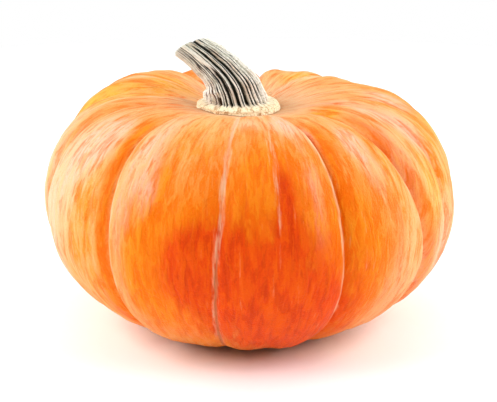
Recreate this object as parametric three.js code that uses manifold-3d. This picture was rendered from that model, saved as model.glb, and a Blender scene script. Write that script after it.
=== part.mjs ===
// A ripe ribbed pumpkin, as cut from its vine, standing on its blossom end.
//
// It is two solids: the fruit, whose lobes swell between furrows that run from the stem's pit down to the
// blossom pit, and the dried stem, ridged and bent over to one side, which stands in the pit on the swollen
// collar that joined it to the fruit.
//
// Millimetres and degrees. +Z is up and z = 0 is the surface that the pumpkin stands on. An azimuth is 0 at
// the front, -Y, and grows towards +X. The origin is under the centre of the fruit.

import * as THREE from "three";
import { mergeVertices } from "three/addons/utils/BufferGeometryUtils.js";
import Module from "manifold-3d";

// Driving dimensions of the fruit.
const RADIUS = 130; // from the axis to the fullest lobe
const GIRTH_HEIGHT = 79; // height of the widest part
const SHOULDER_RADIUS = 63; // the ring of highest points round the stem's pit
const SHOULDER_HEIGHT = 148;
const PIT_HEIGHT = 136; // floor of the stem's pit
const PIT_FORWARD = 8; // how far in front of the axis the pit is, with the stem and the ends of the furrows
const PIT_REACH = [15, 105]; // radii between which the skin around the pit comes back over the axis
const FOOT_RADIUS = 38; // the ring that the fruit stands on
const FOOT_FLATTENING = 1.6; // how much the ground has flattened the lobes there
const BLOSSOM_PIT_DEPTH = 7;
const UPPER_FULLNESS = 2.1; // superellipse powers of the outline above and below the girth: 2 is an ellipse
const LOWER_FULLNESS = 2;
const FURROW_FADE_TOP = [12, 72]; // radii between which the relief grows to its full depth on top
const FURROW_FADE_FOOT = [40, 105]; // the same underneath
const FOOT_RELIEF = 0.25; // share of the relief that is left underneath
const UNDERSIDE_END = [0.5, 1.3]; // shares of the girth's height between which the fade becomes the top's

// The furrows, in order round the fruit. lean is how far a furrow's azimuth moves from the foot to the
// shoulder, and bow how far it curves back towards both, as four times the sag of a bow. depth is how far the
// flanks of its lobes fall away, crease is how much deeper the sharp fold at its bottom is, and swell is how
// far the lobe after it stands proud of the common outline, or behind it.
const FURROWS = [
  { azimuth: -8, lean: 4, bow: 0, depth: 3, crease: 1, swell: 0 },
  { azimuth: 27.2, lean: -3, bow: 0, depth: 4.5, crease: 3, swell: -1.5 },
  { azimuth: 58.2, lean: -20, bow: 0, depth: 5, crease: 2.5, swell: -0.5 },
  { azimuth: 70.5, lean: -6, bow: 0, depth: 2.5, crease: 1, swell: 0.5 },
  { azimuth: 84, lean: -4, bow: 0, depth: 4.5, crease: 2, swell: 0 },
  { azimuth: 116, lean: 4, bow: 0, depth: 4.5, crease: 2, swell: -3 },
  { azimuth: 144, lean: 0, bow: 0, depth: 5, crease: 2.5, swell: -2.5 },
  { azimuth: 175, lean: -2, bow: 0, depth: 7, crease: 3, swell: -1 },
  { azimuth: 212, lean: 4, bow: 0, depth: 6, crease: 2.5, swell: 3 },
  { azimuth: 252, lean: 8, bow: 0, depth: 4.5, crease: 2, swell: -2.5 },
  { azimuth: 280, lean: 4, bow: 0, depth: 6, crease: 2.5, swell: -2.5 },
  { azimuth: 319.3, lean: 0, bow: 10, depth: 4.5, crease: 3, swell: -0.5 },
];
const CREASE_WIDTH = 3.5;
const LOBE_ROUNDNESS = [2.3, 1.5]; // powers of a lobe's cross-section

// Driving dimensions of the stem.
const STEM_LINE = [
  // Its centre line, from inside the pit to past the cut, as [x, y, z].
  [-5, -8, 130.5],
  [-5, -8, 136],
  [-5, -8, 140.5],
  [-6.8, -7.8, 146.5],
  [-9.4, -7.3, 152.8],
  [-14.6, -6, 160.3],
  [-21, -4, 166.1],
  [-34.8, 0, 175.3],
  [-50, 5, 184.5],
];
const STEM_RADII = [
  // [share of the centre line, radius], from the collar to the tip
  [0, 25],
  [0.11, 25.7],
  [0.15, 24.5],
  [0.19, 19.4],
  [0.28, 17.2],
  [0.43, 13.8],
  [0.54, 12.3],
  [0.76, 9.9],
  [1, 8.8],
];
const UPRIGHT_END = [0.16, 0.45]; // shares between which its sections turn from level to square across it
const RIDGES = 16;
const RIDGE_DEPTH = 1.1;
const RIDGES_START = [0.2, 0.26]; // shares between which the ridges rise out of the smooth collar
const CUT_POINT = [-34, 0, 175.5]; // where the knife went through the stem's centre
const CUT_NORMAL = [-0.41, 0.5, 0.76];
const CUT_LOWEST = 0.5; // share of the centre line above which the knife went through
const SEAT_GAP = 0.3; // between the stem and the fruit

// How finely the surfaces are divided.
const FRUIT_ROWS = 32;
const OUTLINE_STEPS = 40; // in each of the outline's four arcs
const LOBE_COLUMNS = 9;
const CROWDING = 0.65; // how far a lobe's columns are crowded towards its furrows, from 0 to 1
const STEM_ROWS = 16;
const STEM_COLUMNS = 64;
const CUT_HALVINGS = 24; // steps of the search for the knife's plane

const SKIN = { color: 0xee6a1e, roughness: 0.42, metalness: 0 };
const DRY_STEM = { color: 0xb9b38f, roughness: 0.85, metalness: 0 };

const { degToRad, euclideanModulo, smoothstep, lerp } = THREE.MathUtils;

/** A closed solid from rings of points, all of one length, and a last point at each end. */
function closedSkin(rings, start, end) {
  const columns = rings[0].length;
  const points = [start, ...rings.flat(), end];
  const last = points.length - 1;
  const at = (row, column) => 1 + row * columns + (column % columns);
  const index = [];
  for (let c = 0; c < columns; c++) {
    index.push(0, at(0, c), at(0, c + 1));
    for (let r = 0; r < rings.length - 1; r++) {
      index.push(at(r, c), at(r + 1, c), at(r, c + 1));
      index.push(at(r, c + 1), at(r + 1, c), at(r + 1, c + 1));
    }
    index.push(last, at(rings.length - 1, c + 1), at(rings.length - 1, c));
  }
  return new THREE.BufferGeometry().setFromPoints(points).setIndex(index);
}

/** Half of the fruit's outline without its ribs, from the stem's pit to the blossom pit: (radius, height). */
function fruitOutline() {
  const points = [];
  const arc = (from, point) => {
    for (let i = from; i <= OUTLINE_STEPS; i++) {
      points.push(new THREE.Vector2(...point(i / OUTLINE_STEPS)));
    }
  };
  const quarter = (t) => (t * Math.PI) / 2;
  const shoulderRise = SHOULDER_HEIGHT - GIRTH_HEIGHT;
  const hollow = (t) => (1 - Math.cos(Math.PI * t)) / 2;
  arc(0, (t) => [SHOULDER_RADIUS * t, lerp(PIT_HEIGHT, SHOULDER_HEIGHT, hollow(t))]);
  arc(1, (t) => [
    SHOULDER_RADIUS + (RADIUS - SHOULDER_RADIUS) * Math.sin(quarter(t)) ** (2 / UPPER_FULLNESS),
    GIRTH_HEIGHT + shoulderRise * Math.max(0, Math.cos(quarter(t))) ** (2 / UPPER_FULLNESS),
  ]);
  const drop = GIRTH_HEIGHT + FOOT_FLATTENING;
  arc(1, (t) => [
    FOOT_RADIUS + (RADIUS - FOOT_RADIUS) * Math.max(0, Math.cos(quarter(t))) ** (2 / LOWER_FULLNESS),
    GIRTH_HEIGHT - drop * Math.sin(quarter(t)) ** (2 / LOWER_FULLNESS),
  ]);
  arc(1, (t) => [FOOT_RADIUS * (1 - t), BLOSSOM_PIT_DEPTH * hollow(t) - FOOT_FLATTENING]);
  return new THREE.SplineCurve(points);
}

/** Share of the ribs' relief at a place on the outline: it fades into both pits. */
function reliefShare(radius, height) {
  const onTop = smoothstep(radius, ...FURROW_FADE_TOP);
  const underneath = lerp(FOOT_RELIEF, 1, smoothstep(radius, ...FURROW_FADE_FOOT));
  return lerp(underneath, onTop, smoothstep(height / GIRTH_HEIGHT, ...UNDERSIDE_END));
}

/** How far in front of the axis a place's ring is: the pit isn't quite over the middle of the fruit. */
function pitForward(radius, height) {
  return height > GIRTH_HEIGHT ? PIT_FORWARD * (1 - smoothstep(radius, ...PIT_REACH)) : 0;
}

/**
 * One row of the ribs, as places with an azimuth and a relief, which is how far the skin stands out from the
 * outline there. Each lobe's places are crowded towards its two furrows, where the skin turns most.
 */
function ribRow(radius, climb) {
  const [flatness, steepness] = LOBE_ROUNDNESS;
  const rise = climb - 0.5;
  const place = ({ azimuth, lean, bow }) => azimuth + lean * rise - bow * rise ** 2;
  const places = [];
  FURROWS.forEach((before, i) => {
    const after = FURROWS[(i + 1) % FURROWS.length];
    const start = place(before);
    const width = euclideanModulo(place(after) - start, 360);
    for (let column = 0; column < LOBE_COLUMNS; column++) {
      const step = column / LOBE_COLUMNS;
      const across = lerp(step, (1 - Math.cos(Math.PI * step)) / 2, CROWDING);
      const lobe = (1 - Math.abs(2 * across - 1) ** flatness) ** (1 / steepness);
      const depth = lerp(before.depth, after.depth, smoothstep(across, 0, 1));
      const arc = degToRad(width) * radius;
      const fold =
        before.crease * Math.exp((-arc * across) / CREASE_WIDTH) +
        after.crease * Math.exp((-arc * (1 - across)) / CREASE_WIDTH);
      const relief = before.swell * lobe - depth * (1 - lobe) - fold;
      places.push({ azimuth: start + width * across, relief });
    }
  });
  return places;
}

/** The fruit: its outline turned round the axis and moved in and out by the ribs, flat where it stands. */
function fruitGeometry() {
  const outline = fruitOutline();
  const rings = [];
  for (let row = 1; row < FRUIT_ROWS; row++) {
    const { x: radius, y: height } = outline.getPointAt(row / FRUIT_ROWS);
    const along = outline.getTangentAt(row / FRUIT_ROWS);
    const share = reliefShare(radius, height);
    const forward = pitForward(radius, height);
    const ring = ribRow(radius, height / SHOULDER_HEIGHT).map(({ azimuth, relief }) => {
      const out = radius - along.y * relief * share;
      const up = Math.max(0, height + along.x * relief * share);
      const turn = degToRad(azimuth);
      return new THREE.Vector3(out * Math.sin(turn), -out * Math.cos(turn) - forward, up);
    });
    rings.push(ring);
  }
  const top = new THREE.Vector3(0, -PIT_FORWARD, PIT_HEIGHT);
  const bottom = new THREE.Vector3(0, 0, BLOSSOM_PIT_DEPTH - FOOT_FLATTENING);
  return closedSkin(rings, top, bottom);
}

/** The stem's radius at a share of its centre line. */
function stemRadius(share) {
  const next = Math.max(1, STEM_RADII.findIndex(([place]) => place >= share));
  const [from, small] = STEM_RADII[next - 1];
  const [to, large] = STEM_RADII[next];
  return lerp(small, large, smoothstep(share, from, to));
}

/** A point on the stem's side, at a share of its centre line and an angle round it. */
function stemPoint(line, share, angle) {
  const centre = line.getPointAt(share);
  const upright = 1 - smoothstep(share, ...UPRIGHT_END);
  const along = line.getTangentAt(share).lerp(new THREE.Vector3(0, 0, 1), upright).normalize();
  const right = new THREE.Vector3(0, 1, 0).cross(along).normalize();
  const back = along.clone().cross(right);
  const groove = RIDGE_DEPTH * smoothstep(share, ...RIDGES_START);
  const radius = stemRadius(share) - groove * (0.5 - 0.5 * Math.cos(RIDGES * angle));
  return centre
    .addScaledVector(right, radius * Math.sin(angle))
    .addScaledVector(back, -radius * Math.cos(angle));
}

/** The share of the centre line at which one side of the stem reaches the knife's plane. */
function shareAtCut(line, angle, knife) {
  let low = CUT_LOWEST;
  let high = 1;
  for (let i = 0; i < CUT_HALVINGS; i++) {
    const middle = (low + high) / 2;
    if (knife.distanceToPoint(stemPoint(line, middle, angle)) < 0) low = middle;
    else high = middle;
  }
  return low;
}

/** The stem with its collar, before it is seated on the fruit. */
function stemGeometry() {
  const line = new THREE.CatmullRomCurve3(STEM_LINE.map((point) => new THREE.Vector3(...point)));
  const cutPoint = new THREE.Vector3(...CUT_POINT);
  const normal = new THREE.Vector3(...CUT_NORMAL).normalize();
  const knife = new THREE.Plane().setFromNormalAndCoplanarPoint(normal, cutPoint);
  const angles = Array.from({ length: STEM_COLUMNS }, (_, i) => (2 * Math.PI * i) / STEM_COLUMNS);
  const ends = angles.map((angle) => shareAtCut(line, angle, knife));
  const rings = [];
  for (let row = 0; row <= STEM_ROWS; row++) {
    rings.push(angles.map((angle, i) => stemPoint(line, (ends[i] * row) / STEM_ROWS, angle)));
  }
  return closedSkin(rings.reverse(), cutPoint, line.getPointAt(0));
}

const wasm = await Module();
wasm.setup();

function toSolid(geometry) {
  const merged = mergeVertices(geometry);
  return new wasm.Manifold(
    new wasm.Mesh({
      numProp: 3,
      vertProperties: merged.attributes.position.array,
      triVerts: new Uint32Array(merged.index.array),
    }),
  );
}

function toGeometry(solid) {
  const { vertProperties, triVerts } = solid.getMesh();
  return new THREE.BufferGeometry()
    .setAttribute("position", new THREE.BufferAttribute(vertProperties, 3))
    .setIndex(new THREE.BufferAttribute(triVerts, 1));
}

/** The stem cut to the shape of the pit that it stands in. */
function seated(stem, fruit) {
  const raisedFruit = fruit.clone().translate(0, 0, SEAT_GAP);
  return toGeometry(toSolid(stem).subtract(toSolid(raisedFruit)));
}

function named(name, geometry, look) {
  geometry.computeVertexNormals();
  const mesh = new THREE.Mesh(geometry, new THREE.MeshStandardMaterial(look));
  mesh.name = name;
  return mesh;
}

const fruit = fruitGeometry();
const stem = seated(stemGeometry(), fruit);

const pumpkin = new THREE.Group();
pumpkin.add(named("fruit", fruit, SKIN), named("stem", stem, DRY_STEM));

// The lobes aren't alike, so the whole is moved to bring the centre of its box over the origin.
const centre = new THREE.Box3().setFromObject(pumpkin).getCenter(new THREE.Vector3());
pumpkin.position.set(-centre.x, -centre.y, 0);

export default pumpkin;
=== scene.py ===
"""A ripe ribbed pumpkin with its dried stem, on a plain pale floor under soft studio light.

The fruit and the stem are rebuilt finely from the CAD's own driving dimensions, and placed by the CAD's
boxes. Shapes are worked out in millimetres, with +Z up, and azimuths in degrees from the front, -Y,
towards +X. Each surface carries its own coordinates as attributes, which the materials read.
"""

import math
from typing import NamedTuple

import bpy
import numpy as np
from mathutils import Matrix, Vector, noise


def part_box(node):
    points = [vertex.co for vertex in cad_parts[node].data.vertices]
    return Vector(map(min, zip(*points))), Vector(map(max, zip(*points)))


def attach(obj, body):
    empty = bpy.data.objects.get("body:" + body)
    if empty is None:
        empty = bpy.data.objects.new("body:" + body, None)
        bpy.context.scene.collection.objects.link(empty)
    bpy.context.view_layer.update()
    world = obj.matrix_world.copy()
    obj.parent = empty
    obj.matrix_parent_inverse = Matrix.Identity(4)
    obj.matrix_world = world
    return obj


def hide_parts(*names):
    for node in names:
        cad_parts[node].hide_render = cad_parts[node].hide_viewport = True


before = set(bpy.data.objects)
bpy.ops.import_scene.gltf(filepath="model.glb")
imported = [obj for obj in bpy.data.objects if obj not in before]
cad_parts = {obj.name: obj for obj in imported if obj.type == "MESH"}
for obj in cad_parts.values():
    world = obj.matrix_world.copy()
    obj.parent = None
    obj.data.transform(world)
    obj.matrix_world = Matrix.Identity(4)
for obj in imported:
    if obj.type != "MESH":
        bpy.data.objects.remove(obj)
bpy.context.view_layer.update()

MM = 0.001

# The fruit's outline, as in the CAD.
RADIUS = 130.0
GIRTH_HEIGHT = 79.0
SHOULDER_RADIUS = 63.0
SHOULDER_HEIGHT = 148.0
PIT_HEIGHT = 136.0
PIT_FORWARD = 8.0
PIT_REACH = (15.0, 105.0)
FOOT_RADIUS = 38.0
FOOT_FLATTENING = 1.6
BLOSSOM_PIT_DEPTH = 7.0
UPPER_FULLNESS = 2.1
LOWER_FULLNESS = 2.0
FURROW_FADE_TOP = (12.0, 72.0)
FURROW_FADE_FOOT = (40.0, 105.0)
FOOT_RELIEF = 0.25
UNDERSIDE_END = (0.5, 1.3)
CREASE_WIDTH = 3.5
LOBE_ROUNDNESS = (2.3, 1.5)

# The marks beside the furrows: their widths, and how far to the side they are, start and end, in mm.
LINE_WIDTH = 2.1
SCAB_WIDTH = 1.5
SCAB_PLACE = 0.3
# FLANK_START and FLANK_END bound the painted shade on the furrows' flanks.
FLANK_START = (-1, 3)
FLANK_END = (4, 15)
FOLD_LINE_WIDTH = 2.0
# The share of a pale line that a scab hides.
SCAB_HIDES_LINE = 0.6

# Ways down from the top in mm. There is none of a mark at the first, and all of it at the second.
SCAB_DOWN = (135, 185)
# FLANK_DOWN: how the painted shade on the flanks comes in below the top.
FLANK_DOWN = (58, 88)
FOLD_LINE_DOWN = (190, 130)

# Distances from the axis in mm, in the same form: the marks away from the pits, the dents, the blossom scar.
MARKS_OUT = (24, 40)
DENTS_OUT = (10, 60)
BLOSSOM_OUT = (11, 6)

# The marks that aren't 0 at the very top or the very bottom, and what they are there.
MARKS_AT_ENDS = {"paler_and_highlight": (1, 0), "blossom": (0, 1)}


class Furrow(NamedTuple):
    """A furrow and the lobe after it, as in the CAD, and the colours beside it.

    The furrow leans and bows away from its azimuth. It has a depth in mm and a sharp crease along its bottom,
    and its lobe stands out by swell. A pale line runs edge mm past the furrow, or before it, and is as strong
    as pale, up to 1. On the furrow's other side, where the lobe falls into it, a deeper orange is painted as
    shade, with its own strength. A corky brown scar, as strong as scar, runs down the lower half of the
    furrow.
    """

    azimuth: float
    lean: float
    bow: float
    depth: float
    crease: float
    swell: float
    edge: float
    pale: float
    shaded_flank: float
    scar: float

    def at(self, climb):
        rise = climb - 0.5
        return self.azimuth + self.lean * rise - self.bow * rise**2

    def line(self, past):
        return self.pale * np.exp(-(((past - self.edge) / LINE_WIDTH) ** 2))

    def scab(self, past):
        return self.scar * np.exp(-(((past - SCAB_PLACE) / SCAB_WIDTH) ** 2))

    # Painted shade: a deeper orange on the side where the lobe falls into the furrow.
    def painted_flank_shade(self, past):
        away = -past * np.sign(self.edge)
        return self.shaded_flank * smoothstep(away, *FLANK_START) * (1 - smoothstep(away, *FLANK_END))


FURROWS = [
    Furrow(-8, 4, 0, 3, 1, 0, 0.1, 0.7, 0.1, 1.0),
    Furrow(27.2, -3, 0, 4.5, 3, -1.5, -2, 0.7, 1.0, 0.3),
    Furrow(58.2, -20, 0, 5, 2.5, -0.5, -2.5, 0.6, 0.7, 0.3),
    Furrow(70.5, -6, 0, 2.5, 1, 0.5, -1, 0.8, 0.1, 0.2),
    Furrow(84, -4, 0, 4.5, 2, 0, -2, 0.3, 0.8, 0.4),
    Furrow(116, 4, 0, 4.5, 2, -3, -2, 0.6, 0.6, 0.5),
    Furrow(144, 0, 0, 5, 2.5, -2.5, 2, 0.7, 0.8, 0.3),
    Furrow(175, -2, 0, 7, 3, -1, -2, 0.8, 0.7, 0.8),
    Furrow(212, 4, 0, 6, 2.5, 3, 2, 0.7, 0.9, 0.3),
    Furrow(252, 8, 0, 4.5, 2, -2.5, 3, 0.6, 0.6, 0.6),
    Furrow(280, 4, 0, 6, 2.5, -2.5, 3, 0.6, 0.5, 0.2),
    Furrow(319.3, 0, 10, 4.5, 3, -0.5, 2.2, 0.8, 1.0, 0.2),
]


class Fold(NamedTuple):
    """A shallow valley within a lobe: its azimuth and lean, its depth and width in mm, and its pale line."""

    azimuth: float
    lean: float
    depth: float
    width: float
    pale: float

    def at(self, climb):
        return self.azimuth + self.lean * (climb - 0.5)


FOLDS = [
    Fold(8.3, 0, 1.3, 6, 0.5),
    Fold(-23, 0, 1.2, 9, 0.1),
    Fold(41, -8, 1.2, 8, 0.2),
    Fold(100, 0, 1.6, 7, 0.5),
    Fold(130, 0, 1.4, 7, 0.4),
    Fold(160, 0, 1.4, 9, 0.2),
    Fold(194, 2, 1.6, 9, 0.5),
    Fold(228, 4, 1.2, 8, 0.2),
    Fold(241, 2, 1.5, 6, 0.5),
    Fold(266, 4, 1.8, 7, 0.5),
    Fold(300, 0, 1.2, 9, 0.2),
]


class Bumps(NamedTuple):
    """Smooth noise on a surface: its height, its wavelength in mm, its seed, and how it is squeezed."""

    height: float
    wavelength: float
    seed: int
    squeeze: tuple = (1, 1, 1)

    def at(self, points):
        return self.height * noise_at(points * self.squeeze, self.wavelength, self.seed)


# The skin's dents, in mm.
DENTS = [
    Bumps(0.45, 24, 1),
    Bumps(0.35, 10, 2, (1, 1, 0.4)),
    Bumps(0.36, 5.5, 8, (1, 1, 0.6)),
]


class Patch(NamedTuple):
    """A soft patch of colour: its azimuth and its way down in mm, the spreads of both, and its strength."""

    azimuth: float
    down: float
    spread: float
    height: float
    strength: float

    def share(self, azimuth, down):
        away = degrees_past(azimuth, self.azimuth) / self.spread
        return self.strength * np.exp(-(away**2) - ((down - self.down) / self.height) ** 2)


# Where the skin is deep red-orange, saturated orange and golden, where it is lighter, and where it has a
# pinkish waxy film. The lighter patches and the film are partly the skin's own and partly painted highlight.
DEEP = [
    Patch(3, 190, 20, 46, 1.0),
    Patch(-14, 174, 8, 24, 0.9),
    Patch(12, 245, 20, 28, 0.6),
    Patch(10.5, 142, 2.2, 28, 1.0),
    Patch(24, 215, 12, 40, 0.5),
    Patch(128, 190, 16, 45, 0.8),
    Patch(196, 180, 20, 40, 0.9),
    Patch(236, 195, 12, 40, 0.7),
]
SATURATED = [
    Patch(2, 160, 30, 55, 1.0),
    Patch(-22, 190, 14, 60, 0.8),
    Patch(31, 180, 12, 75, 0.9),
    Patch(6, 118, 9, 26, 0.9),
    Patch(-46, 160, 8, 40, 0.25),
    Patch(-24, 124, 1.8, 9, 1.0),
    Patch(-25.5, 143, 1.8, 11, 1.0),
    Patch(-25.5, 163, 2.4, 14, 1.0),
    Patch(-30.5, 186, 2.0, 22, 1.0),
    Patch(-24, 192, 2.2, 20, 1.0),
    Patch(110, 180, 16, 60, 0.7),
    Patch(165, 190, 16, 60, 0.7),
    Patch(206, 150, 22, 50, 0.8),
    Patch(250, 180, 12, 60, 0.6),
]
GOLDEN = [
    Patch(244, 55, 8, 22, 1.0),
    Patch(51, 62, 5, 12, 1.0),
    Patch(-100, 60, 7, 22, 0.8),
    Patch(-106, 100, 5, 20, 1.0),
    Patch(262, 95, 10, 20, 0.5),
    Patch(62, 150, 5, 30, 0.5),
    Patch(150, 70, 10, 25, 0.8),
    Patch(188, 75, 9, 25, 0.6),
]
# Lighter patches: partly the skin's own tone and partly painted highlight.
PALER_AND_HIGHLIGHT = [
    Patch(-64, 130, 12, 60, 0.7),
    Patch(-33, 140, 7, 85, 0.9),
    Patch(-76, 190, 10, 50, 1.0),
    Patch(66, 70, 5, 30, 0.9),
    Patch(16, 68, 6, 22, 0.8),
    Patch(44, 200, 8, 60, 0.5),
    Patch(54, 110, 5, 50, 0.6),
    Patch(68, 210, 12, 48, 1.0),
    Patch(84, 180, 8, 50, 0.6),
    Patch(-92, 145, 12, 55, 1.0),
    Patch(158, 130, 9, 50, 0.8),
    Patch(222, 120, 9, 50, 0.8),
]
# Patches of a pinkish waxy film, partly the skin's own and partly painted highlight.
BLOOM_AND_HIGHLIGHT = [
    Patch(-54, 108, 6, 22, 0.9),
    Patch(-61, 118, 8, 40, 0.7),
    Patch(-28, 132, 3, 17, 0.6),
    Patch(-34, 112, 4, 18, 0.6),
    Patch(1, 72, 9, 15, 0.5),
    Patch(16, 76, 6, 16, 0.9),
    Patch(25, 88, 3, 15, 0.7),
    Patch(19, 135, 3.5, 45, 0.4),
    Patch(38.5, 100, 4, 16, 0.8),
    Patch(39.5, 122, 5, 24, 0.4),
    Patch(67, 106, 6, 22, 1.0),
    Patch(62, 84, 5, 12, 0.8),
    Patch(89, 88, 8, 20, 0.8),
    Patch(155, 100, 8, 30, 0.8),
    Patch(220, 105, 8, 35, 0.8),
]

# The stem, as in the CAD: places in mm, radii in mm by the share of its length.
STEM_LINE = [
    (-5, -8, 130.5),
    (-5, -8, 136),
    (-5, -8, 140.5),
    (-6.8, -7.8, 146.5),
    (-9.4, -7.3, 152.8),
    (-14.6, -6, 160.3),
    (-21, -4, 166.1),
    (-34.8, 0, 175.3),
    (-50, 5, 184.5),
]
STEM_RADII = [
    (0, 25),
    (0.11, 25.7),
    (0.15, 24.5),
    (0.19, 19.4),
    (0.28, 17.2),
    (0.43, 13.8),
    (0.54, 12.3),
    (0.76, 9.9),
    (1, 8.8),
]
CUT_POINT = (-34, 0, 175.5)
CUT_NORMAL = (-0.41, 0.5, 0.76)
SEAT_GAP = 0.3
UPRIGHT_END = (0.16, 0.45)


class Swell(NamedTuple):
    """A place where the stem swells or draws in: angle, its spread, share, its spread, and height in mm."""

    angle: float
    spread: float
    share: float
    reach: float
    height: float

    def at(self, angle, share):
        away = degrees_past(angle, self.angle) / self.spread
        return self.height * np.exp(-(away**2) - ((share - self.share) / self.reach) ** 2)


SWELLS = [
    Swell(-80, 30, 0.27, 0.11, 2.0),
    Swell(-90, 30, 0.12, 0.05, 1.0),
    Swell(-36, 16, 0.10, 0.05, -1.6),
    Swell(85, 30, 0.27, 0.06, 1.2),
]


class Groove(NamedTuple):
    """A groove: its angle from the front towards +X, depth and width in mm, and the share it reaches."""

    angle: float
    depth: float
    width: float
    reach: float


GROOVES = [
    Groove(-47, 3.0, 1.6, 0.27),
    Groove(-35, 3.2, 1.5, 0.27),
    Groove(-33, 1.1, 1.2, 1.1),
    Groove(-21, 2.2, 1.0, 0.6),
    Groove(-12, 3.2, 1.7, 0.5),
    Groove(4, 3.6, 2.0, 0.75),
    Groove(14, 1.4, 0.9, 1.1),
    Groove(24, 3.9, 2.4, 1.1),
    Groove(33, 1.5, 0.9, 0.7),
    Groove(41, 2.0, 1.1, 0.9),
    Groove(50, 2.4, 3.5, 0.17),
    Groove(51, 1.7, 1.0, 0.8),
    Groove(61, 2.1, 1.2, 1.0),
    Groove(74, 2.0, 1.2, 1.1),
    Groove(90, 3.0, 1.7, 1.1),
    Groove(108, 1.8, 1.2, 0.8),
    Groove(124, 2.8, 1.7, 1.1),
    Groove(135, 1.5, 0.9, 1.1),
    Groove(146, 1.6, 1.1, 0.9),
    Groove(163, 2.8, 1.7, 1.1),
    Groove(173, 1.4, 0.9, 1.1),
    Groove(183, 2.2, 1.4, 0.8),
    Groove(201, 2.9, 1.8, 1.1),
    Groove(222, 1.6, 1.1, 0.9),
    Groove(240, 2.6, 1.6, 1.1),
    Groove(258, 1.7, 1.2, 0.8),
    Groove(276, 2.6, 1.6, 1.1),
    Groove(283, 1.6, 0.9, 1.1),
    Groove(290, 2.4, 1.4, 1.1),
    Groove(302, 1.8, 1.1, 1.1),
    Groove(313, 1.6, 1.0, 1.1),
    Groove(321, 1.3, 0.8, 1.1),
    Groove(334, 1.3, 0.8, 1.1),
    Groove(354, 1.4, 0.8, 1.1),
]
# The grooves turn and wander by so many degrees on their way up. Their widths are those at GROOVE_RADIUS.
GROOVE_TWIST = 15
GROOVE_WANDER = Bumps(2.0, 14, 3, (0.3, 0.3, 1.0))
GROOVE_RADIUS = 17.2
# A groove fades out from this share of the length before its reach to as much after it.
GROOVE_FADE = 0.08
# A groove is as dark as SHALLOW_DARKNESS and its depth in mm over DARKENING_DEPTH, up to 1.
SHALLOW_DARKNESS = 0.5
DARKENING_DEPTH = 5
SHADOW_SHARPNESS = 1.3
# By what share the grooves are deeper just above the collar, and what share is left of them at the tip.
POCKET_DEEPENING = 0.6
TIP_GROOVES = 0.5

# The collar's lumps and the fine fibres above it, in mm.
COLLAR_LUMPS = [Bumps(0.8, 9, 4), Bumps(0.35, 3.2, 7)]
FIBRES = Bumps(0.3, 2.0, 5, (1, 1, 0.2))

# Shares of the stem's length. There is none of a thing at the first, and all of it at the second.
TWIST_SHARES = (0.15, 0.8)
GROOVES_SHARES = (0.16, 0.19)
POCKET_SHARES = (0.27, 0.20)
TIP_SHARES = (0.35, 0.8)
COLLAR_SHARES = (0.21, 0.15)

# The cut end, in mm: it is frayed, and goes hollow between two shares of the way in from its rim.
FRAY = Bumps(0.5, 2.5, 6)
CUT_HOLLOW = 1.6
CUT_HOLLOW_IN = (0.5, 0.95)

# The stem's own coordinates run round a cylinder of this radius in mm.
SHADE_RADIUS = 20


class Pattern(NamedTuple):
    """A procedural noise over a surface's coordinates: how these are squeezed, and the noise's settings."""

    squeeze: tuple
    scale: float
    detail: float
    roughness: float
    distortion: float


class Layer(NamedTuple):
    """A colour laid over the ones before it, as a field goes from start to full, up to a strength."""

    field: str
    start: float
    full: float
    strength: float
    colour: str


# The skin's looks: its patterns, its colours as sRGB codes, and the order in which they are laid.
SKIN_PATTERNS = {
    "clouds": Pattern((1, 1, 0.6), 0.05, 3, 0.55, 0.4),
    "streaks": Pattern((1, 1, 0.22), 0.17, 4, 0.6, 0.4),
    "fibres": Pattern((1, 1, 0.14), 0.55, 3, 0.6, 0),
    "specks": Pattern((1, 1, 1), 0.8, 4, 0.65, 0),
    "mottle": Pattern((1, 1, 0.28), 0.2, 3, 0.6, 0.5),
}
SKIN_COLOURS = {
    "orange": "F08814",
    "light orange": "F49E38",
    "pale orange": "F0A260",
    "cream": "F2CA9E",
    # Partly a lighter skin tone, partly painted highlight.
    "paler_and_highlight": "F4B894",
    "saturated": "F67400",
    # The deeper orange of the painted shade on the furrows' flanks.
    "shaded_flank": "F66E00",
    "golden": "F0AA3C",
    # A pinkish waxy film, partly painted highlight.
    "bloom": "F8BEA2",
    "deep": "E43E00",
    "common light streak": "F8B67A",
    "rich light streak": "F8961C",
    "deep light streak": "F06000",
    "common dark streak": "EE6A00",
    "deep dark streak": "CC3400",
    "line": "F6C6A0",
    "scab": "C46A3C",
    "blossom": "7A5230",
}
SKIN_GROUND = [
    Layer("clouds", 0.35, 0.65, 1, "light orange"),
    Layer("down", 120, 55, 0.85, "pale orange"),
    Layer("down", 62, 28, 0.9, "cream"),
]
SKIN_STREAKS = [
    Layer("streaks", 0.49, 0.62, 0.55, "light streak"),
    Layer("streaks", 0.49, 0.37, 0.6, "dark streak"),
    Layer("mottle", 0.5, 0.58, 0.4, "light streak"),
    Layer("mottle", 0.46, 0.38, 0.45, "dark streak"),
    Layer("fibres", 0.52, 0.68, 0.2, "light streak"),
    Layer("specks", 0.53, 0.66, 0.25, "light streak"),
    Layer("specks", 0.45, 0.33, 0.3, "dark streak"),
]
SKIN_MARKS = [
    Layer("line", 0.2, 0.9, 0.75, "line"),
    Layer("scab", 0.45, 0.9, 0.7, "scab"),
    Layer("blossom", 0.3, 0.6, 1, "blossom"),
]
# A patch's edge is worn by the streaks and the clouds, as much as its raggedness says. Its colour comes in
# between the two values of PATCH_EDGE, and only where the patch itself is past those of PATCH_FOOT.
WEAR_BY_STREAKS = 0.9
WEAR_BY_CLOUDS = 0.5
WEAR_MIDDLE = 0.7
RAGGEDNESS = {"paler_and_highlight": 0.9, "saturated": 1.4, "golden": 1.0, "bloom": 0.9, "deep": 1.4}
PATCH_EDGE = (0.1, 0.8)
PATCH_FOOT = (0.0, 0.2)
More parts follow.
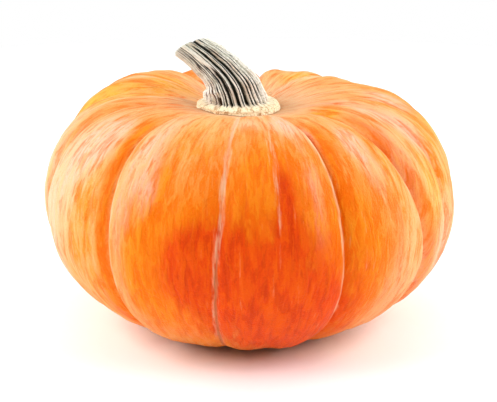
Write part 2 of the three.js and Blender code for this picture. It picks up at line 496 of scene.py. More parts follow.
# The strength of the pinkish film, which is partly painted highlight, and of the deep colour.
TINT_STRENGTH = 0.9
# The strength of the flanks' painted shade goes between two values as the clouds go between two.
FLANK_CLOUDS = (0.3, 0.6)
FLANK_STRENGTHS = (0.5, 0.9)
# How much the marks are broken up by the patterns, whose middle value is NOISE_MIDDLE.
LINE_BREAKING = 1.2
SCAB_BREAKING = 1.6
BLOSSOM_BREAKING = 1.0
NOISE_MIDDLE = 0.5
# The roughness goes between the last two values as the streaks go between the first two.
SKIN_ROUGHNESS = (0.3, 0.7, 0.36, 0.46)
SKIN_SPECULAR = 0.08

# The stem's looks, in the same form.
STEM_PATTERNS = {
    "fibres": Pattern((1, 1, 0.10), 0.9, 4, 0.65, 0),
    "blotches": Pattern((1, 1, 0.5), 0.16, 3, 0.6, 0),
    "pits": Pattern((1, 1, 1), 0.42, 4, 0.6, 0.6),
    "grit": Pattern((1, 1, 1), 1.3, 3, 0.7, 0),
}
STEM_COLOURS = {
    "white": "FEFAF0",
    "grey white": "F0EEDE",
    "grey green": "B4B49C",
    "bright fibre": "FEFCF6",
    "tan": "D0B092",
    "olive": "7C7A60",
    "pitted cork": "B88C58",
    "smooth cork": "EAD8B0",
    "cream grit": "F6ECD2",
    "brown grit": "8A5C34",
    "black": "1B1C12",
    "brown": "6B4632",
    "dark pith": "8A8462",
    "light pith": "D8CFAE",
}
# The colours cork, shadow and pith are themselves made of layers.
STEM_RIBS = [
    Layer("share", 0.25, 0.8, 1, "grey white"),
    Layer("fibres", 0.5, 0.36, 0.7, "grey green"),
    Layer("fibres", 0.54, 0.68, 0.8, "bright fibre"),
    Layer("blotches", 0.52, 0.64, 0.45, "tan"),
    Layer("grit", 0.46, 0.36, 0.55, "olive"),
]
STEM_CORK = [
    Layer("pits", 0.36, 0.5, 1, "smooth cork"),
    Layer("grit", 0.5, 0.62, 0.6, "cream grit"),
    Layer("grit", 0.44, 0.36, 0.7, "brown grit"),
]
STEM_MARKS = [
    Layer("share", 0.20, 0.165, 1, "cork"),
    Layer("groove", 0.4, 0.75, 1, "shadow"),
]
# The grooves' shadow is black, and brown round the stem's left side.
STEM_SHADOW = [Layer("x", -9, -16, 1, "brown")]
STEM_PITH = [Layer("grit", 0.4, 0.6, 1, "light pith")]
GROOVE_BREAKING = 1.5
STEM_ROUGHNESS = 0.8
STEM_SPECULAR = 0.3


class Relief(NamedTuple):
    """A bump in a material, too fine for the mesh: a pattern, its strength and its height in metres."""

    pattern: str
    strength: float
    height: float


SKIN_RELIEFS = [Relief("specks", 0.7, 0.0008), Relief("mottle", 0.9, 0.0020)]
STEM_RELIEFS = [Relief("grit", 0.5, 0.0005), Relief("fibres", 0.6, 0.0008)]

# The camera: degrees, metres, and mm for its aim and lens.
CAMERA_ELEVATION = 17.8
CAMERA_DISTANCE = 1.125
CAMERA_AIM_HEIGHT = 78.0
CAMERA_LENS = 129.0
CAMERA_SENSOR = 36.0
CAMERA_SHIFT = (0.003, -0.0068)

# The floor: a white disc, in metres.
FLOOR_RADIUS = 0.8
FLOOR_SIDES = 128
FLOOR_COLOUR = (1.0, 1.0, 1.0, 1.0)
FLOOR_ROUGHNESS = 0.9


class SoftBox(NamedTuple):
    """A soft box, aimed at the fruit: azimuth and elevation, distance and sides in metres, power in watts."""

    name: str
    azimuth: float
    elevation: float
    distance: float
    sides: tuple
    power: float


SOFT_BOXES = [
    SoftBox("left_box", -60, 36, 1.2, (0.5, 0.7), 8),
    SoftBox("right_box", 60, 36, 1.2, (0.5, 0.7), 7),
    SoftBox("left_rim", -108, 24, 1.1, (0.5, 0.8), 9),
    SoftBox("right_rim", 108, 24, 1.1, (0.5, 0.8), 9),
    SoftBox("back_box", 180, 62, 1.6, (2.2, 1.6), 12),
]
# The height in mm that the lights are aimed at.
LIGHTS_AIM_HEIGHT = 80.0
# How bright the white backdrop is to the camera, and as a light.
BACKDROP_SEEN = 1.0
BACKDROP_LIGHT = 0.22

# How finely the surfaces are divided. A lobe's columns are crowded towards its furrows, by a share from 0 to
# 1. The two powers crowd the stem's rows towards its foot, and its ends are closed by rings at shares of the
# way out from their middles.
OUTLINE_STEPS = 60
FRUIT_ROWS = 210
LOBE_COLUMNS = 38
CROWDING = 0.65
STEM_ROWS = 150
STEM_COLUMNS = 400
STEM_LINE_STEPS = 400
STEM_ROW_POWERS = (0.85, 1.25)
END_RINGS = (0.06, 0.14, 0.26, 0.42, 0.6, 0.78, 0.9, 0.97)

# The searches for the cut's rim and the collar's foot: between which shares, and how many halvings.
CUT_SEARCH = (0.5, 1.0)
FOOT_SEARCH = (0.0, 0.2)
HALVINGS = 14
# The height in mm from which the fruit's surface is looked for.
ABOVE_ALL = 400
# How far apart the parts of the noise's field are that two seeds take.
SEED_STEPS = (7.3, 3.1, 5.7)


# --- numbers and meshes -----------------------------------------------------------------------------


def smoothstep(x, low, high):
    t = np.clip((x - low) / (high - low), 0.0, 1.0)
    return t * t * (3.0 - 2.0 * t)


def lerp(a, b, t):
    return a + (b - a) * t


def degrees_past(angle, middle):
    """How far an angle is past another, from -180 to 180 degrees."""
    return np.mod(angle - middle + 180, 360) - 180


def noise_at(points, wavelength, seed):
    """Smooth noise between about -1 and 1 at each point, its bumps about one wavelength apart."""
    shift = Vector([seed * step for step in SEED_STEPS])
    flat = points.reshape(-1, 3) / wavelength
    values = [noise.noise(Vector(point) + shift) for point in flat]
    return np.array(values).reshape(points.shape[:-1])


def skin_faces(rings, columns):
    """Faces of a closed skin: a first point, rings of points, and a last point."""
    faces = []
    last = 1 + rings * columns
    for c in range(columns):
        d = (c + 1) % columns
        faces.append((0, 1 + c, 1 + d))
        for start in range(1, last - columns, columns):
            below = start + columns
            faces.append((start + c, below + c, below + d, start + d))
        bottom = last - columns
        faces.append((last, bottom + d, bottom + c))
    return faces


def with_ends(first, rings, last):
    """Values of a skin's points in their order: the first point's, the rings', and the last point's."""
    rings = np.asarray(rings, float)
    if rings.ndim == 3:
        return np.vstack([[first], rings.reshape(-1, 3), [last]])
    return np.concatenate([[first], rings.ravel(), [last]])


def skin_object(name, points, shape, attributes):
    """A smooth closed object from a skin's points in mm, with each array of values as an attribute."""
    mesh = bpy.data.meshes.new(name)
    mesh.from_pydata((points * MM).tolist(), [], skin_faces(*shape))
    for key, values in attributes.items():
        vector = values.ndim == 2
        layer = mesh.attributes.new(key, "FLOAT_VECTOR" if vector else "FLOAT", "POINT")
        layer.data.foreach_set("vector" if vector else "value", values.astype(np.float32).ravel())
    mesh.shade_smooth()
    piece = bpy.data.objects.new(name, mesh)
    bpy.context.scene.collection.objects.link(piece)
    return piece


# --- the fruit --------------------------------------------------------------------------------------


def outline_points():
    """Half of the fruit's outline without its ribs, from the stem's pit to the blossom pit."""
    t = np.linspace(0.0, 1.0, OUTLINE_STEPS)
    hollow = (1.0 - np.cos(np.pi * t)) / 2.0
    sine = np.sin(t * np.pi / 2.0)
    cosine = np.maximum(0.0, np.cos(t * np.pi / 2.0))
    rise = SHOULDER_HEIGHT - GIRTH_HEIGHT
    drop = GIRTH_HEIGHT + FOOT_FLATTENING
    upper = 2.0 / UPPER_FULLNESS
    lower = 2.0 / LOWER_FULLNESS
    arcs = [
        (SHOULDER_RADIUS * t, lerp(PIT_HEIGHT, SHOULDER_HEIGHT, hollow)),
        (lerp(SHOULDER_RADIUS, RADIUS, sine**upper), GIRTH_HEIGHT + rise * cosine**upper),
        (lerp(FOOT_RADIUS, RADIUS, cosine**lower), GIRTH_HEIGHT - drop * sine**lower),
        (FOOT_RADIUS * (1 - t), BLOSSOM_PIT_DEPTH * hollow - FOOT_FLATTENING),
    ]
    radius = np.concatenate([[0.0]] + [arc[0][1:] for arc in arcs])
    height = np.concatenate([[PIT_HEIGHT]] + [arc[1][1:] for arc in arcs])
    return radius, height


def even_outline(rows):
    """Evenly spaced places on the outline: radius, height, the outline's direction, and the way down."""
    radius, height = outline_points()
    way = np.concatenate([[0.0], np.cumsum(np.hypot(np.diff(radius), np.diff(height)))])
    down = np.linspace(0.0, way[-1], rows + 1)
    radius = np.interp(down, way, radius)
    height = np.interp(down, way, height)
    run = np.gradient(radius)
    fall = np.gradient(height)
    size = np.hypot(run, fall)
    inner = slice(1, rows)
    return [values[inner, None] for values in (radius, height, run / size, fall / size, down)]


def relief_share(radius, height):
    on_top = smoothstep(radius, *FURROW_FADE_TOP)
    underneath = lerp(FOOT_RELIEF, 1.0, smoothstep(radius, *FURROW_FADE_FOOT))
    return lerp(underneath, on_top, smoothstep(height / GIRTH_HEIGHT, *UNDERSIDE_END))


def pit_forward(radius, height):
    return np.where(height > GIRTH_HEIGHT, PIT_FORWARD * (1 - smoothstep(radius, *PIT_REACH)), 0.0)


def lobe_rows(before, after, radius, climb):
    """A lobe's places: azimuth and relief, and how strong the pale line, painted furrow-side shade and scab
    are there.
    """
    step = np.arange(LOBE_COLUMNS) / LOBE_COLUMNS
    across = lerp(step, (1 - np.cos(np.pi * step)) / 2, CROWDING)
    flatness, steepness = LOBE_ROUNDNESS
    lobe = (1 - np.abs(2 * across - 1) ** flatness) ** (1 / steepness)
    start = before.at(climb)
    width = np.mod(after.at(climb) - start, 360.0)
    azimuth = start + width * across
    arc = np.radians(width) * radius
    here = arc * across
    there = arc * (1 - across)
    fold = before.crease * np.exp(-here / CREASE_WIDTH) + after.crease * np.exp(-there / CREASE_WIDTH)
    depth = lerp(before.depth, after.depth, smoothstep(across, 0, 1))
    relief = before.swell * lobe - depth * (1 - lobe) - fold
    line = before.line(here) + after.line(-there)
    shaded_flank = before.painted_flank_shade(here) + after.painted_flank_shade(-there)
    scab = before.scab(here) + after.scab(-there)
    return azimuth, relief, line, shaded_flank, scab


def patchwork(patches, azimuth, down):
    return np.minimum(1.0, sum(patch.share(azimuth, down) for patch in patches))


def skin_marks(radius, height, down, azimuth, line, shaded_flank, scab):
    """The skin's marks and patches, each from 0 to 1, by name."""
    away_from_pits = smoothstep(radius, *MARKS_OUT)
    underneath = smoothstep(height, GIRTH_HEIGHT, GIRTH_HEIGHT / 2)
    scab = scab * smoothstep(down, *SCAB_DOWN)
    return {
        "line": line * (1 - SCAB_HIDES_LINE * scab) * away_from_pits,
        # The painted shade on the furrows' flanks, coming in below the top.
        "shaded_flank": shaded_flank * smoothstep(down, *FLANK_DOWN),
        "scab": scab * away_from_pits,
        "deep": patchwork(DEEP, azimuth, down),
        "saturated": patchwork(SATURATED, azimuth, down),
        "golden": patchwork(GOLDEN, azimuth, down),
        "paler_and_highlight": patchwork(PALER_AND_HIGHLIGHT, azimuth, down),
        "bloom": patchwork(BLOOM_AND_HIGHLIGHT, azimuth, down),
        "blossom": underneath * smoothstep(radius, *BLOSSOM_OUT) + 0 * azimuth,
    }


def build_fruit():
    radius, height, run, fall, down = even_outline(FRUIT_ROWS)
    climb = height / SHOULDER_HEIGHT
    pairs = zip(FURROWS, FURROWS[1:] + FURROWS[:1])
    lobes = [lobe_rows(before, after, radius, climb) for before, after in pairs]
    azimuth, relief, line, shaded_flank, scab = (np.concatenate(part, axis=1) for part in zip(*lobes))
    sine = np.sin(np.radians(azimuth))
    cosine = np.cos(np.radians(azimuth))
    grain = np.stack([RADIUS * sine, -RADIUS * cosine, down + 0 * azimuth], axis=-1)
    for fold in FOLDS:
        aside = np.radians(degrees_past(azimuth, fold.at(climb))) * radius
        relief = relief - fold.depth * np.exp(-((aside / fold.width) ** 2))
        pale = fold.pale * smoothstep(down, *FOLD_LINE_DOWN)
        line = line + pale * np.exp(-((aside / FOLD_LINE_WIDTH) ** 2))
    dents = sum(bumps.at(grain) for bumps in DENTS)
    relief = relief * relief_share(radius, height) + dents * smoothstep(radius, *DENTS_OUT)
    out = radius - fall * relief
    up = np.maximum(0.0, height + run * relief)
    points = np.stack([out * sine, -out * cosine - pit_forward(radius, height), up], axis=-1)
    top = (0, -PIT_FORWARD, PIT_HEIGHT)
    bottom = (0, 0, BLOSSOM_PIT_DEPTH - FOOT_FLATTENING)
    attributes = {"grain": with_ends((0, 0, 0), grain, (0, 0, down[-1, 0]))}
    for name, values in skin_marks(radius, height, down, azimuth, line, shaded_flank, scab).items():
        first, last = MARKS_AT_ENDS.get(name, (0, 0))
        attributes[name] = with_ends(first, values, last)
    return skin_object("pumpkin_fruit", with_ends(top, points, bottom), azimuth.shape, attributes)


def settle(piece, node):
    """Moves a piece's mesh sideways to the middle of its CAD node's box, and says how far."""
    low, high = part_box(node)
    corners = np.array([vertex.co for vertex in piece.data.vertices])
    middle = (corners.min(0) + corners.max(0)) / 2
    shift = (low + high) / 2 - Vector(middle)
    shift.z = 0.0
    piece.data.transform(Matrix.Translation(shift))
    return shift


# --- the stem ---------------------------------------------------------------------------------------


class StemLine:
    """The stem's centre line as a smooth curve, by the share of its length."""

    def __init__(self, points):
        before = 2 * points[0] - points[1]
        after = 2 * points[-1] - points[-2]
        knots = np.vstack([before, points, after])
        spans = len(points) - 1
        pieces = [self.span(knots[i : i + 4], STEM_LINE_STEPS // spans) for i in range(spans)]
        self.points = np.vstack(pieces + [points[-1:]])
        lengths = np.linalg.norm(np.diff(self.points, axis=0), axis=1)
        self.way = np.concatenate([[0.0], np.cumsum(lengths)])
        self.length = self.way[-1]

    @staticmethod
    def span(knots, steps):
        """A centripetal Catmull-Rom curve between the middle two of four points."""
        a, b, c, d = knots
        t1 = np.linalg.norm(b - a) ** 0.5
        t2 = t1 + np.linalg.norm(c - b) ** 0.5
        t3 = t2 + np.linalg.norm(d - c) ** 0.5
        t = np.linspace(t1, t2, steps, endpoint=False)[:, None]
        ab = lerp(a, b, t / t1)
        bc = lerp(b, c, (t - t1) / (t2 - t1))
        cd = lerp(c, d, (t - t2) / (t3 - t2))
        abc = lerp(ab, bc, t / t2)
        bcd = lerp(bc, cd, (t - t1) / (t3 - t1))
        return lerp(abc, bcd, (t - t1) / (t2 - t1))

    def at(self, share):
        place = share * self.length
        return np.stack([np.interp(place, self.way, self.points[:, k]) for k in range(3)], axis=-1)

    def along(self, share):
        """The line's direction as a unit vector."""
        step = 0.004
        ahead = self.at(np.minimum(share + step, 1)) - self.at(np.maximum(share - step, 0))
        return ahead / np.linalg.norm(ahead, axis=-1, keepdims=True)


def stem_radius(share):
    places, radii = np.array(STEM_RADII, float).T
    index = np.clip(np.searchsorted(places, share), 1, len(places) - 1)
    t = smoothstep(share, places[index - 1], places[index])
    return lerp(radii[index - 1], radii[index], t)


def grooves_at(angle, share):
    """How deep the grooves are at an angle in degrees, and how dark, from 0 to 1."""
    depth = np.zeros(np.broadcast(angle, share).shape)
    dark = np.zeros_like(depth)
    for groove in GROOVES:
        aside = np.radians(degrees_past(angle, groove.angle)) * GROOVE_RADIUS / groove.width
        reached = smoothstep(share, groove.reach + GROOVE_FADE, groove.reach - GROOVE_FADE)
        shadow = min(1, SHALLOW_DARKNESS + groove.depth / DARKENING_DEPTH) * reached
        depth = np.maximum(depth, groove.depth * reached * np.exp(-(aside**2)))
        dark = np.maximum(dark, shadow * np.exp(-SHADOW_SHARPNESS * aside**2))
    return depth, dark


def stem_axes(line, share):
    """Unit vectors to the right and to the back in the stem's sections, which lie level in the collar."""
    upright = 1 - smoothstep(share, *UPRIGHT_END)[..., None]
    along = lerp(line.along(share), np.array((0.0, 0.0, 1.0)), upright)
    along /= np.linalg.norm(along, axis=-1, keepdims=True)
    right = np.cross((0.0, 1.0, 0.0), along)
    right /= np.linalg.norm(right, axis=-1, keepdims=True)
    return right, np.cross(along, right)


def stem_side(line, share, angle):
    """Points on the stem's side, how dark the groove is there, and the stem's own coordinates."""
    sine = np.sin(np.radians(angle))
    cosine = np.cos(np.radians(angle))
    shade = np.stack([SHADE_RADIUS * sine, SHADE_RADIUS * cosine, share * line.length], axis=-1)
    wander = GROOVE_WANDER.at(shade) - GROOVE_TWIST * smoothstep(share, *TWIST_SHARES)
    depth, dark = grooves_at(angle + wander, share)
    grooved = smoothstep(share, *GROOVES_SHARES)
    pocket = 1.0 + POCKET_DEEPENING * smoothstep(share, *POCKET_SHARES)
    taper = lerp(1.0, TIP_GROOVES, smoothstep(share, *TIP_SHARES))
    on_collar = smoothstep(share, *COLLAR_SHARES)
    lumps = sum(bumps.at(shade) for bumps in COLLAR_LUMPS) * on_collar
    fibres = FIBRES.at(shade) * (1 - on_collar)
    swelling = sum(swell.at(angle, share) for swell in SWELLS)
    radius = stem_radius(share) + swelling - depth * grooved * pocket * taper + lumps + fibres
    right, back = stem_axes(line, share)
    points = line.at(share) + right * (radius * sine)[..., None] - back * (radius * cosine)[..., None]
    return points, dark * grooved, shade


def share_where(test, search):
    """For each column, the share at which a test turns true, found by halving."""
    low = np.full(STEM_COLUMNS, search[0])
    high = np.full(STEM_COLUMNS, search[1])
    for _ in range(HALVINGS):
        middle = (low + high) / 2
        passed = test(middle)
        high = np.where(passed, middle, high)
        low = np.where(passed, low, middle)
    return (low + high) / 2


def seat_height(fruit, x, y):
    """Height in mm of the stem's underside over a place on the fruit."""
    hit, place, _, _ = fruit.ray_cast(Vector((x, y, ABOVE_ALL)) * MM, Vector((0, 0, -1)))
    return (place.z / MM if hit else 0.0) + SEAT_GAP


def stem_shares(line, angle, fruit, knife_point, knife):
    """The shares of the side's points, in rows from the cut's rim to where the collar meets the fruit."""

    def above_knife(share):
        points, _, _ = stem_side(line, share, angle)
        return (points - knife_point) @ knife > 0

    def above_fruit(share):
        points, _, _ = stem_side(line, share, angle)
        return np.array([z > seat_height(fruit, x, y) for x, y, z in points])

    top = share_where(above_knife, CUT_SEARCH)
    foot = share_where(above_fruit, FOOT_SEARCH)
    first_power, second_power = STEM_ROW_POWERS
    step = np.linspace(0, 1, STEM_ROWS)[:, None] ** first_power
    return lerp(top, foot, 1 - (1 - step) ** second_power)


def build_stem(fruit, shift):
    shift = np.array(shift) / MM
    line = StemLine(np.array(STEM_LINE) + shift)
    knife = np.array(CUT_NORMAL) / np.linalg.norm(CUT_NORMAL)
    angle = np.arange(STEM_COLUMNS) * 360.0 / STEM_COLUMNS
    share = stem_shares(line, angle, fruit, np.array(CUT_POINT) + shift, knife)
    side, dark, shade = stem_side(line, share, angle + 0 * share)
    rim = side[0]
    middle = rim.mean(0)
    outward = np.array(END_RINGS)[:, None, None]
    cut = lerp(middle, rim, outward)
    hollow = CUT_HOLLOW * smoothstep(1 - outward[..., 0], *CUT_HOLLOW_IN)
    cut = cut + knife * (FRAY.at(cut) - hollow)[..., None]
    sole = lerp(side[-1].mean(0), side[-1], outward[::-1])
    for ring in sole:
        ring[:, 2] = [seat_height(fruit, x, y) for x, y in ring[:, :2]]
    points = np.concatenate([cut, side, sole])
    bare = np.zeros(cut.shape[:2])
    ones = np.ones(cut.shape[:2])
    attributes = {
        "shade": with_ends((0, 0, 0), np.concatenate([cut - middle, shade, sole * 0]), (0, 0, 0)),
        "dark": with_ends(0, np.concatenate([bare, dark, bare]), 0),
        "share": with_ends(1, np.concatenate([ones, share, bare]), 0),
        "cut": with_ends(1, np.concatenate([ones, 0 * share, bare]), 0),
    }
    first = cut[0].mean(0)
    last = sole[-1].mean(0)
    shape = (len(points), STEM_COLUMNS)
    return skin_object("pumpkin_stem", with_ends(first, points, last), shape, attributes)


# --- materials --------------------------------------------------------------------------------------


def srgb(code):
    """A linear colour from six hexadecimal digits."""
    parts = [int(code[i : i + 2], 16) / 255 for i in (0, 2, 4)]
    return tuple(p / 12.92 if p < 0.04045 else ((p + 0.055) / 1.055) ** 2.4 for p in parts) + (1.0,)


class Nodes:
    """Short calls for building a material's nodes."""

    # The places of a colour mix's factor, its two colours and its result among the node's sockets.
    MIX_FACTOR = 0
    MIX_FIRST = 6
    MIX_SECOND = 7
    MIX_RESULT = 2

    def __init__(self, name):
        self.material = bpy.data.materials.new(name)
        self.material.use_nodes = True
        self.tree = self.material.node_tree
        self.tree.nodes.clear()
        self.output = self.add("ShaderNodeOutputMaterial")

    def add(self, kind, **settings):
        node = self.tree.nodes.new(kind)
        for key, value in settings.items():
            setattr(node, key, value)
        return node

    def plug(self, socket, value):
        if isinstance(value, bpy.types.NodeSocket):
            self.tree.links.new(value, socket)
        else:
            socket.default_value = value

    def attribute(self, name, vector=False):
        node = self.add("ShaderNodeAttribute", attribute_name=name)
        return node.outputs["Vector" if vector else "Fac"]

    def component(self, vector, name):
        node = self.add("ShaderNodeSeparateXYZ")
        self.plug(node.inputs[0], vector)
        return node.outputs[name]

    def math(self, operation, a, b):
        node = self.add("ShaderNodeMath", operation=operation)
        self.plug(node.inputs[0], a)
        self.plug(node.inputs[1], b)
        return node.outputs[0]

    def pattern(self, vector, pattern):
        squeezed = self.add("ShaderNodeVectorMath", operation="MULTIPLY")
        self.plug(squeezed.inputs[0], vector)
        squeezed.inputs[1].default_value = pattern.squeeze
        node = self.add("ShaderNodeTexNoise")
        self.plug(node.inputs["Vector"], squeezed.outputs[0])
        node.inputs["Scale"].default_value = pattern.scale
        node.inputs["Detail"].default_value = pattern.detail
        node.inputs["Roughness"].default_value = pattern.roughness
        node.inputs["Distortion"].default_value = pattern.distortion
        return node.outputs["Fac"]

    def ramp(self, value, low, high, to_low=0.0, to_high=1.0):
        node = self.add("ShaderNodeMapRange", interpolation_type="SMOOTHSTEP")
        self.plug(node.inputs["Value"], value)
        node.inputs["From Min"].default_value = low
        node.inputs["From Max"].default_value = high
        node.inputs["To Min"].default_value = to_low
        node.inputs["To Max"].default_value = to_high
        return node.outputs["Result"]

    def broken(self, weight, pattern, middle, amount):
        """A weight moved up and down by a pattern, so that a ramp over it has a ragged edge."""
        swing = self.math("MULTIPLY", self.math("SUBTRACT", pattern, middle), amount)
        return self.math("ADD", weight, swing)

    def mix(self, factor, a, b):
        node = self.add("ShaderNodeMix", data_type="RGBA")
        self.plug(node.inputs[self.MIX_FACTOR], factor)
        self.plug(node.inputs[self.MIX_FIRST], a)
        self.plug(node.inputs[self.MIX_SECOND], b)
        return node.outputs[self.MIX_RESULT]

    def laid(self, colour, layers, fields, colours):
        """A colour with layers over it, whose fields and colours are found by name."""
        for layer in layers:
            factor = self.ramp(fields[layer.field], layer.start, layer.full, 0, layer.strength)
            colour = self.mix(factor, colour, colours[layer.colour])
        return colour

    def relief(self, reliefs, patterns):
        """A normal bumped by one relief after another."""
        normal = None
        for relief in reliefs:
            node = self.add("ShaderNodeBump")
            node.inputs["Strength"].default_value = relief.strength
            node.inputs["Distance"].default_value = relief.height
            self.plug(node.inputs["Height"], patterns[relief.pattern])
            if normal is not None:
                self.plug(node.inputs["Normal"], normal)
            normal = node.outputs["Normal"]
        return normal

    def finish(self, colour, roughness, specular=None, normal=None):
        """Closes the material with a plain shader, and gives it back."""
        shader = self.add("ShaderNodeBsdfPrincipled")
        self.plug(shader.inputs["Base Color"], colour)
        self.plug(shader.inputs["Roughness"], roughness)
        if specular is not None:
            shader.inputs["Specular IOR Level"].default_value = specular
        if normal is not None:
            self.plug(shader.inputs["Normal"], normal)
        self.plug(self.output.inputs["Surface"], shader.outputs[0])
        return self.material


def skin_fields(n):
    """What the skin's layers go by: its patterns, its marks and the way down from the top."""
    grain = n.attribute("grain", vector=True)
    fields = {name: n.pattern(grain, pattern) for name, pattern in SKIN_PATTERNS.items()}
    streaks_and_fibres = n.math("ADD", fields["streaks"], fields["fibres"])
    fields["down"] = n.component(grain, "Z")
    fields["line"] = n.broken(n.attribute("line"), streaks_and_fibres, 2 * NOISE_MIDDLE, LINE_BREAKING)
    fields["scab"] = n.broken(n.attribute("scab"), fields["fibres"], NOISE_MIDDLE, SCAB_BREAKING)
    fields["blossom"] = n.broken(n.attribute("blossom"), fields["specks"], NOISE_MIDDLE, BLOSSOM_BREAKING)
    return fields


def worn_patches(n, fields):
    """The weights of the skin's patches by name, with streaked and clouded edges."""
    by_streaks = n.math("MULTIPLY", fields["streaks"], WEAR_BY_STREAKS)
    by_clouds = n.math("MULTIPLY", fields["clouds"], WEAR_BY_CLOUDS)
    wear = n.math("ADD", by_streaks, by_clouds)
    weights = {}
    for name, raggedness in RAGGEDNESS.items():
        weight = n.attribute(name)
        edge = n.ramp(n.broken(weight, wear, WEAR_MIDDLE, raggedness), *PATCH_EDGE)
        weights[name] = n.math("MULTIPLY", edge, n.ramp(weight, *PATCH_FOOT))
    for name in ("bloom", "deep"):
        weights[name + " tint"] = n.math("MULTIPLY", weights[name], TINT_STRENGTH)
    # The painted shade on the flanks, its strength following the clouds.
    shaded_flank = n.ramp(fields["clouds"], *FLANK_CLOUDS, *FLANK_STRENGTHS)
    weights["shaded_flank"] = n.math("MULTIPLY", n.attribute("shaded_flank"), shaded_flank)
    return weights


def streak_colours(n, colours, deep):
    """The light and dark streaks' colours, which follow the skin under them."""
    # Streaks are richer on saturated skin and on the painted shade of the flanks.
    rich = n.math("MAXIMUM", n.attribute("saturated"), n.attribute("shaded_flank"))
    light = n.mix(rich, colours["common light streak"], colours["rich light streak"])
    return {
        "light streak": n.mix(deep, light, colours["deep light streak"]),
        "dark streak": n.mix(deep, colours["common dark streak"], colours["deep dark streak"]),
    }


def skin_material():
    n = Nodes("pumpkin_skin")
    colours = {name: srgb(code) for name, code in SKIN_COLOURS.items()}
    fields = skin_fields(n)
    weights = worn_patches(n, fields)
    colour = n.laid(colours["orange"], SKIN_GROUND, fields, colours)
    # Lighter patches, partly painted highlight.
    colour = n.mix(weights["paler_and_highlight"], colour, colours["paler_and_highlight"])
    colour = n.mix(weights["saturated"], colour, colours["saturated"])
    # Painted shade on the furrows' flanks.
    colour = n.mix(weights["shaded_flank"], colour, colours["shaded_flank"])
    colour = n.mix(weights["golden"], colour, colours["golden"])
    # The pinkish film, partly painted highlight.
    colour = n.mix(weights["bloom tint"], colour, colours["bloom"])
    colour = n.mix(weights["deep tint"], colour, colours["deep"])
    colour = n.laid(colour, SKIN_STREAKS, fields, streak_colours(n, colours, weights["deep"]))
    colour = n.laid(colour, SKIN_MARKS, fields, colours)
    roughness = n.ramp(fields["streaks"], *SKIN_ROUGHNESS)
    return n.finish(colour, roughness, SKIN_SPECULAR, n.relief(SKIN_RELIEFS, fields))


def stem_material():
    n = Nodes("pumpkin_stem")
    colours = {name: srgb(code) for name, code in STEM_COLOURS.items()}
    shade = n.attribute("shade", vector=True)
    fields = {name: n.pattern(shade, pattern) for name, pattern in STEM_PATTERNS.items()}
    fields["share"] = n.attribute("share")
    fields["x"] = n.component(shade, "X")
    fields["groove"] = n.broken(n.attribute("dark"), fields["fibres"], NOISE_MIDDLE, GROOVE_BREAKING)
    colours["cork"] = n.laid(colours["pitted cork"], STEM_CORK, fields, colours)
    colours["shadow"] = n.laid(colours["black"], STEM_SHADOW, fields, colours)
    colour = n.laid(colours["white"], STEM_RIBS, fields, colours)
    colour = n.laid(colour, STEM_MARKS, fields, colours)
    pith = n.laid(colours["dark pith"], STEM_PITH, fields, colours)
    colour = n.mix(n.attribute("cut"), colour, pith)
    return n.finish(colour, STEM_ROUGHNESS, STEM_SPECULAR, n.relief(STEM_RELIEFS, fields))


# --- studio -----------------------------------------------------------------------------------------


def build_floor():
    mesh = bpy.data.meshes.new("floor")
    turns = [math.tau * side / FLOOR_SIDES for side in range(FLOOR_SIDES)]
    rim = [(FLOOR_RADIUS * math.cos(turn), FLOOR_RADIUS * math.sin(turn), 0) for turn in turns]
    mesh.from_pydata(rim, [], [range(FLOOR_SIDES)])
    floor = bpy.data.objects.new("floor", mesh)
    floor.data.materials.append(Nodes("floor_white").finish(FLOOR_COLOUR, FLOOR_ROUGHNESS))
    bpy.context.scene.collection.objects.link(floor)


def aimed(thing, position, target):
    thing.location = position
    thing.rotation_euler = (target - position).to_track_quat("-Z", "Y").to_euler()


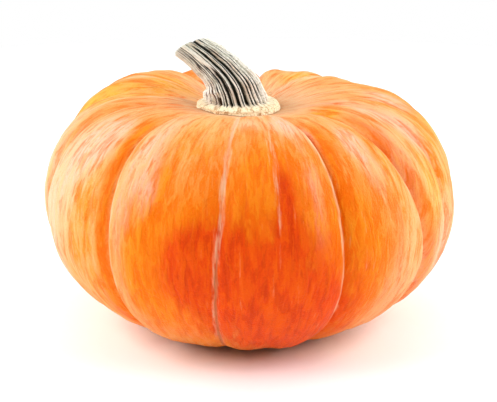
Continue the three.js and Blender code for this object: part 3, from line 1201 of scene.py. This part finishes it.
def build_light(box, target):
    azimuth = math.radians(box.azimuth)
    elevation = math.radians(box.elevation)
    away = Vector((math.sin(azimuth), -math.cos(azimuth), 0)) * math.cos(elevation)
    away.z = math.sin(elevation)
    light = bpy.data.lights.new(box.name, "AREA")
    light.shape = "RECTANGLE"
    light.size, light.size_y = box.sides
    light.energy = box.power
    lamp = bpy.data.objects.new(box.name, light)
    bpy.context.scene.collection.objects.link(lamp)
    aimed(lamp, target + away * box.distance, target)


def build_world():
    """A white backdrop to the camera, which lights the object less than it shows."""
    world = bpy.data.worlds.new("studio")
    world.use_nodes = True
    tree = world.node_tree
    path = tree.nodes.new("ShaderNodeLightPath")
    strength = tree.nodes.new("ShaderNodeMapRange")
    strength.inputs["To Min"].default_value = BACKDROP_LIGHT
    strength.inputs["To Max"].default_value = BACKDROP_SEEN
    tree.links.new(path.outputs["Is Camera Ray"], strength.inputs["Value"])
    background = tree.nodes["Background"]
    background.inputs["Color"].default_value = (1, 1, 1, 1)
    tree.links.new(strength.outputs["Result"], background.inputs["Strength"])
    bpy.context.scene.world = world


def build_camera(axis):
    elevation = math.radians(CAMERA_ELEVATION)
    aim = axis + Vector((0, 0, CAMERA_AIM_HEIGHT * MM))
    away = Vector((0, -math.cos(elevation), math.sin(elevation)))
    data = bpy.data.cameras.new("camera")
    data.lens = CAMERA_LENS
    data.sensor_width = CAMERA_SENSOR
    camera = bpy.data.objects.new("camera", data)
    bpy.context.scene.collection.objects.link(camera)
    aimed(camera, aim + away * CAMERA_DISTANCE, aim)
    data.shift_x, data.shift_y = CAMERA_SHIFT
    bpy.context.scene.camera = camera


fruit = build_fruit()
offset = settle(fruit, "fruit")
fruit.data.materials.append(skin_material())
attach(fruit, "root")
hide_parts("fruit")

stem = build_stem(fruit, offset)
stem.data.materials.append(stem_material())
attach(stem, "root")
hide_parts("stem")

axis = Vector((offset.x, offset.y, 0.0))
build_camera(axis)
build_floor()
build_world()
for box in SOFT_BOXES:
    build_light(box, axis + Vector((0, 0, LIGHTS_AIM_HEIGHT * MM)))
bpy.context.scene.view_settings.view_transform = "Standard"
